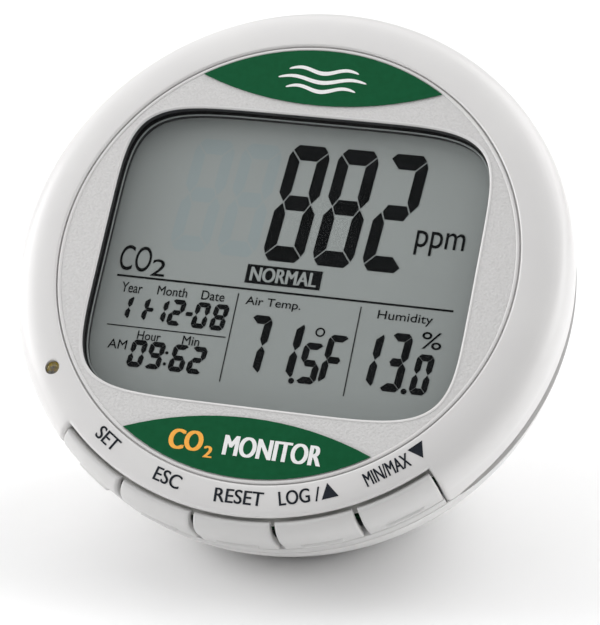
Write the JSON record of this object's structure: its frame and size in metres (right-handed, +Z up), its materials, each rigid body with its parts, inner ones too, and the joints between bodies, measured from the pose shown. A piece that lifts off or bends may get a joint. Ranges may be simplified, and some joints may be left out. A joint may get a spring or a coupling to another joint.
{
  "type": "desktop carbon dioxide monitor",
  "caption": "Round desktop air quality monitor with a large display in a leaning face, keys round its lower rim and a domed back with vents, jacks and a flat base.",
  "frame": {"origin": "on the ground under the middle of the whole object", "axes": "+Z up, the face looks towards -Y and up, +X to the right as seen from the front"},
  "size_m": [0.1158, 0.099, 0.1008],
  "materials": {
    "case_plastic": "satin off-white moulded plastic, roughness 0.38",
    "panel_plastic": "off-white plastic with a fine leather grain, roughness 0.55",
    "clear_plastic": "clear gloss window, roughness 0.05",
    "display_glass": "grey-green reflective liquid crystal cell, roughness 0.15",
    "black_plastic": "black moulded plastic, roughness 0.45",
    "white_plastic": "white moulded plastic, roughness 0.5",
    "label_green": "dark green printed label, roughness 0.35",
    "rubber": "black rubber, roughness 0.85",
    "board_green": "green circuit board with solder resist, roughness 0.45",
    "steel": "plated steel, roughness 0.3",
    "lamp_amber": "amber tinted lamp lens, unlit, roughness 0.15"
  },
  "bodies": {
    "monitor": {"case_screw_lower_left": "steel", "case_screw_lower_right": "steel", "case_screw_upper_left": "steel", "case_screw_upper_right": "steel", "chamber_dust_filter": "white_plastic", "clock_cell": "steel", "clock_cell_holder": "black_plastic", "co2_sample_chamber": "steel", "co2_sensor_board": "board_green", "data_jack": "black_plastic", "dc_jack": "black_plastic", "dc_jack_pin": "steel", "display_window": "clear_plastic", "esc_switch": "black_plastic", "face_panel": "panel_plastic", "foot_front_left": "rubber", "foot_front_right": "rubber", "foot_rear_left": "rubber", "foot_rear_right": "rubber", "front_housing": "case_plastic", "humidity_sensor": "white_plastic", "infrared_detector": "steel", "infrared_lamp": "steel", "jack_board": "board_green", "key_strip": "case_plastic", "lamp_spacer": "white_plastic", "lcd_frame": "black_plastic", "lcd_glass": "display_glass", "log_switch": "black_plastic", "lower_label": "label_green", "lower_zebra_strip": "rubber", "main_board": "board_green", "memory_chip": "black_plastic", "microcontroller": "black_plastic", "minmax_switch": "black_plastic", "rear_housing": "case_plastic", "reset_switch": "black_plastic", "sensor_header": "black_plastic", "set_switch": "black_plastic", "sounder": "black_plastic", "status_lamp": "lamp_amber", "upper_label": "label_green", "upper_zebra_strip": "rubber"},
    "set_button": {"set_key": "case_plastic", "set_switch_plunger": "white_plastic"},
    "esc_button": {"esc_key": "case_plastic", "esc_switch_plunger": "white_plastic"},
    "reset_button": {"reset_key": "case_plastic", "reset_switch_plunger": "white_plastic"},
    "log_button": {"log_key": "case_plastic", "log_switch_plunger": "white_plastic"},
    "minmax_button": {"minmax_key": "case_plastic", "minmax_switch_plunger": "white_plastic"}
  },
  "joints": [
    {"name": "set_key_hinge", "type": "hinge", "parent": "monitor", "child": "set_button", "pos_m": [-0.03203, -0.03587, 0.01847], "axis": [-0.8251, 0.3835, 0.4149], "range_deg": [0, 3.2], "stiffness_Nm_per_rad": 0.09, "springref_deg": -2.29},
    {"name": "esc_key_hinge", "type": "hinge", "parent": "monitor", "child": "esc_button", "pos_m": [-0.01677, -0.04088, 0.01305], "axis": [-0.9553, 0.2007, 0.2171], "range_deg": [0, 3.2], "stiffness_Nm_per_rad": 0.09, "springref_deg": -2.29},
    {"name": "reset_key_hinge", "type": "hinge", "parent": "monitor", "child": "reset_button", "pos_m": [0, -0.0426, 0.01118], "axis": [-1, 0, 0], "range_deg": [0, 3.2], "stiffness_Nm_per_rad": 0.09, "springref_deg": -2.29},
    {"name": "log_key_hinge", "type": "hinge", "parent": "monitor", "child": "log_button", "pos_m": [0.01677, -0.04088, 0.01305], "axis": [-0.9553, -0.2007, -0.2171], "range_deg": [0, 3.2], "stiffness_Nm_per_rad": 0.09, "springref_deg": -2.29},
    {"name": "minmax_key_hinge", "type": "hinge", "parent": "monitor", "child": "minmax_button", "pos_m": [0.03203, -0.03587, 0.01847], "axis": [-0.8251, -0.3835, -0.4149], "range_deg": [0, 3.2], "stiffness_Nm_per_rad": 0.09, "springref_deg": -2.29}
  ]
}
